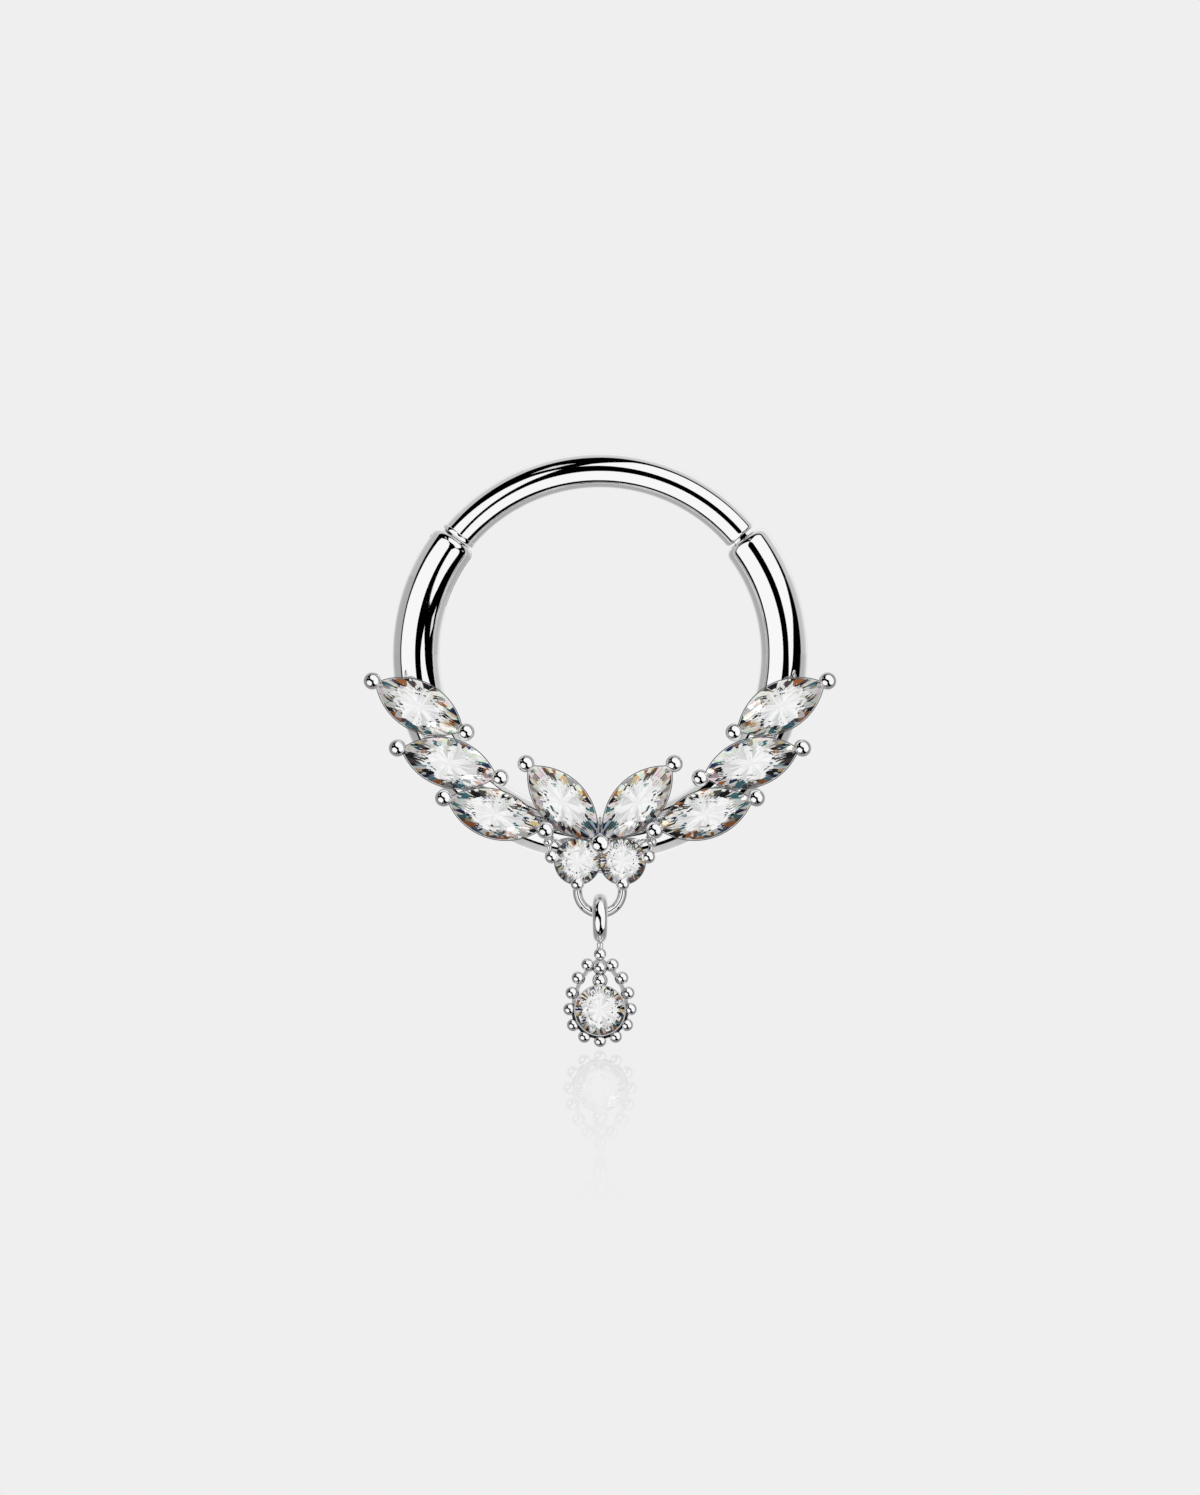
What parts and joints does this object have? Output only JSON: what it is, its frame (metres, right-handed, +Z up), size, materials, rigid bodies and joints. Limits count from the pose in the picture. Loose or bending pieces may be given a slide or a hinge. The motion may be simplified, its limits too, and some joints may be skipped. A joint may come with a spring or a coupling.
{
  "type": "septum ring",
  "caption": "Hinged septum ring with a thick lower tube, a thinner upper wire that opens, wings of marquise stones, a small crest and a beaded pear drop on a loop.",
  "frame": {"origin": "middle of the upper segment's wire at the top of the ring, where the septum sits on it", "axes": "+Z up, +X along the wire to the viewer's right, -Y towards the front, where the stones face"},
  "size_m": [0.0148, 0.0025, 0.0185],
  "materials": {
    "polished_metal": "mirror-polished white metal",
    "clear_stone": "clear faceted stone"
  },
  "bodies": {
    "ring": {"ring_frame": "polished_metal", "hinge_pin": "polished_metal", "marquise_left_1": "clear_stone", "marquise_left_2": "clear_stone", "marquise_left_3": "clear_stone", "marquise_right_1": "clear_stone", "marquise_right_2": "clear_stone", "marquise_right_3": "clear_stone", "crest_left": "clear_stone", "crest_right": "clear_stone", "round_left": "clear_stone", "round_right": "clear_stone"},
    "segment": {"hinged_segment": "polished_metal"},
    "drop": {"drop_frame": "polished_metal", "drop_stone": "clear_stone"}
  },
  "joints": [
    {"name": "segment_hinge", "type": "hinge", "parent": "ring", "child": "segment", "pos_m": [-0.00507, 0, -0.00218], "axis": [0, -1, 0], "range_deg": [0, 100]},
    {"name": "drop_swing", "type": "hinge", "parent": "ring", "child": "drop", "pos_m": [0, -0.00095, -0.01382], "axis": [1, 0, 0], "range_deg": [-120, 120]}
  ]
}
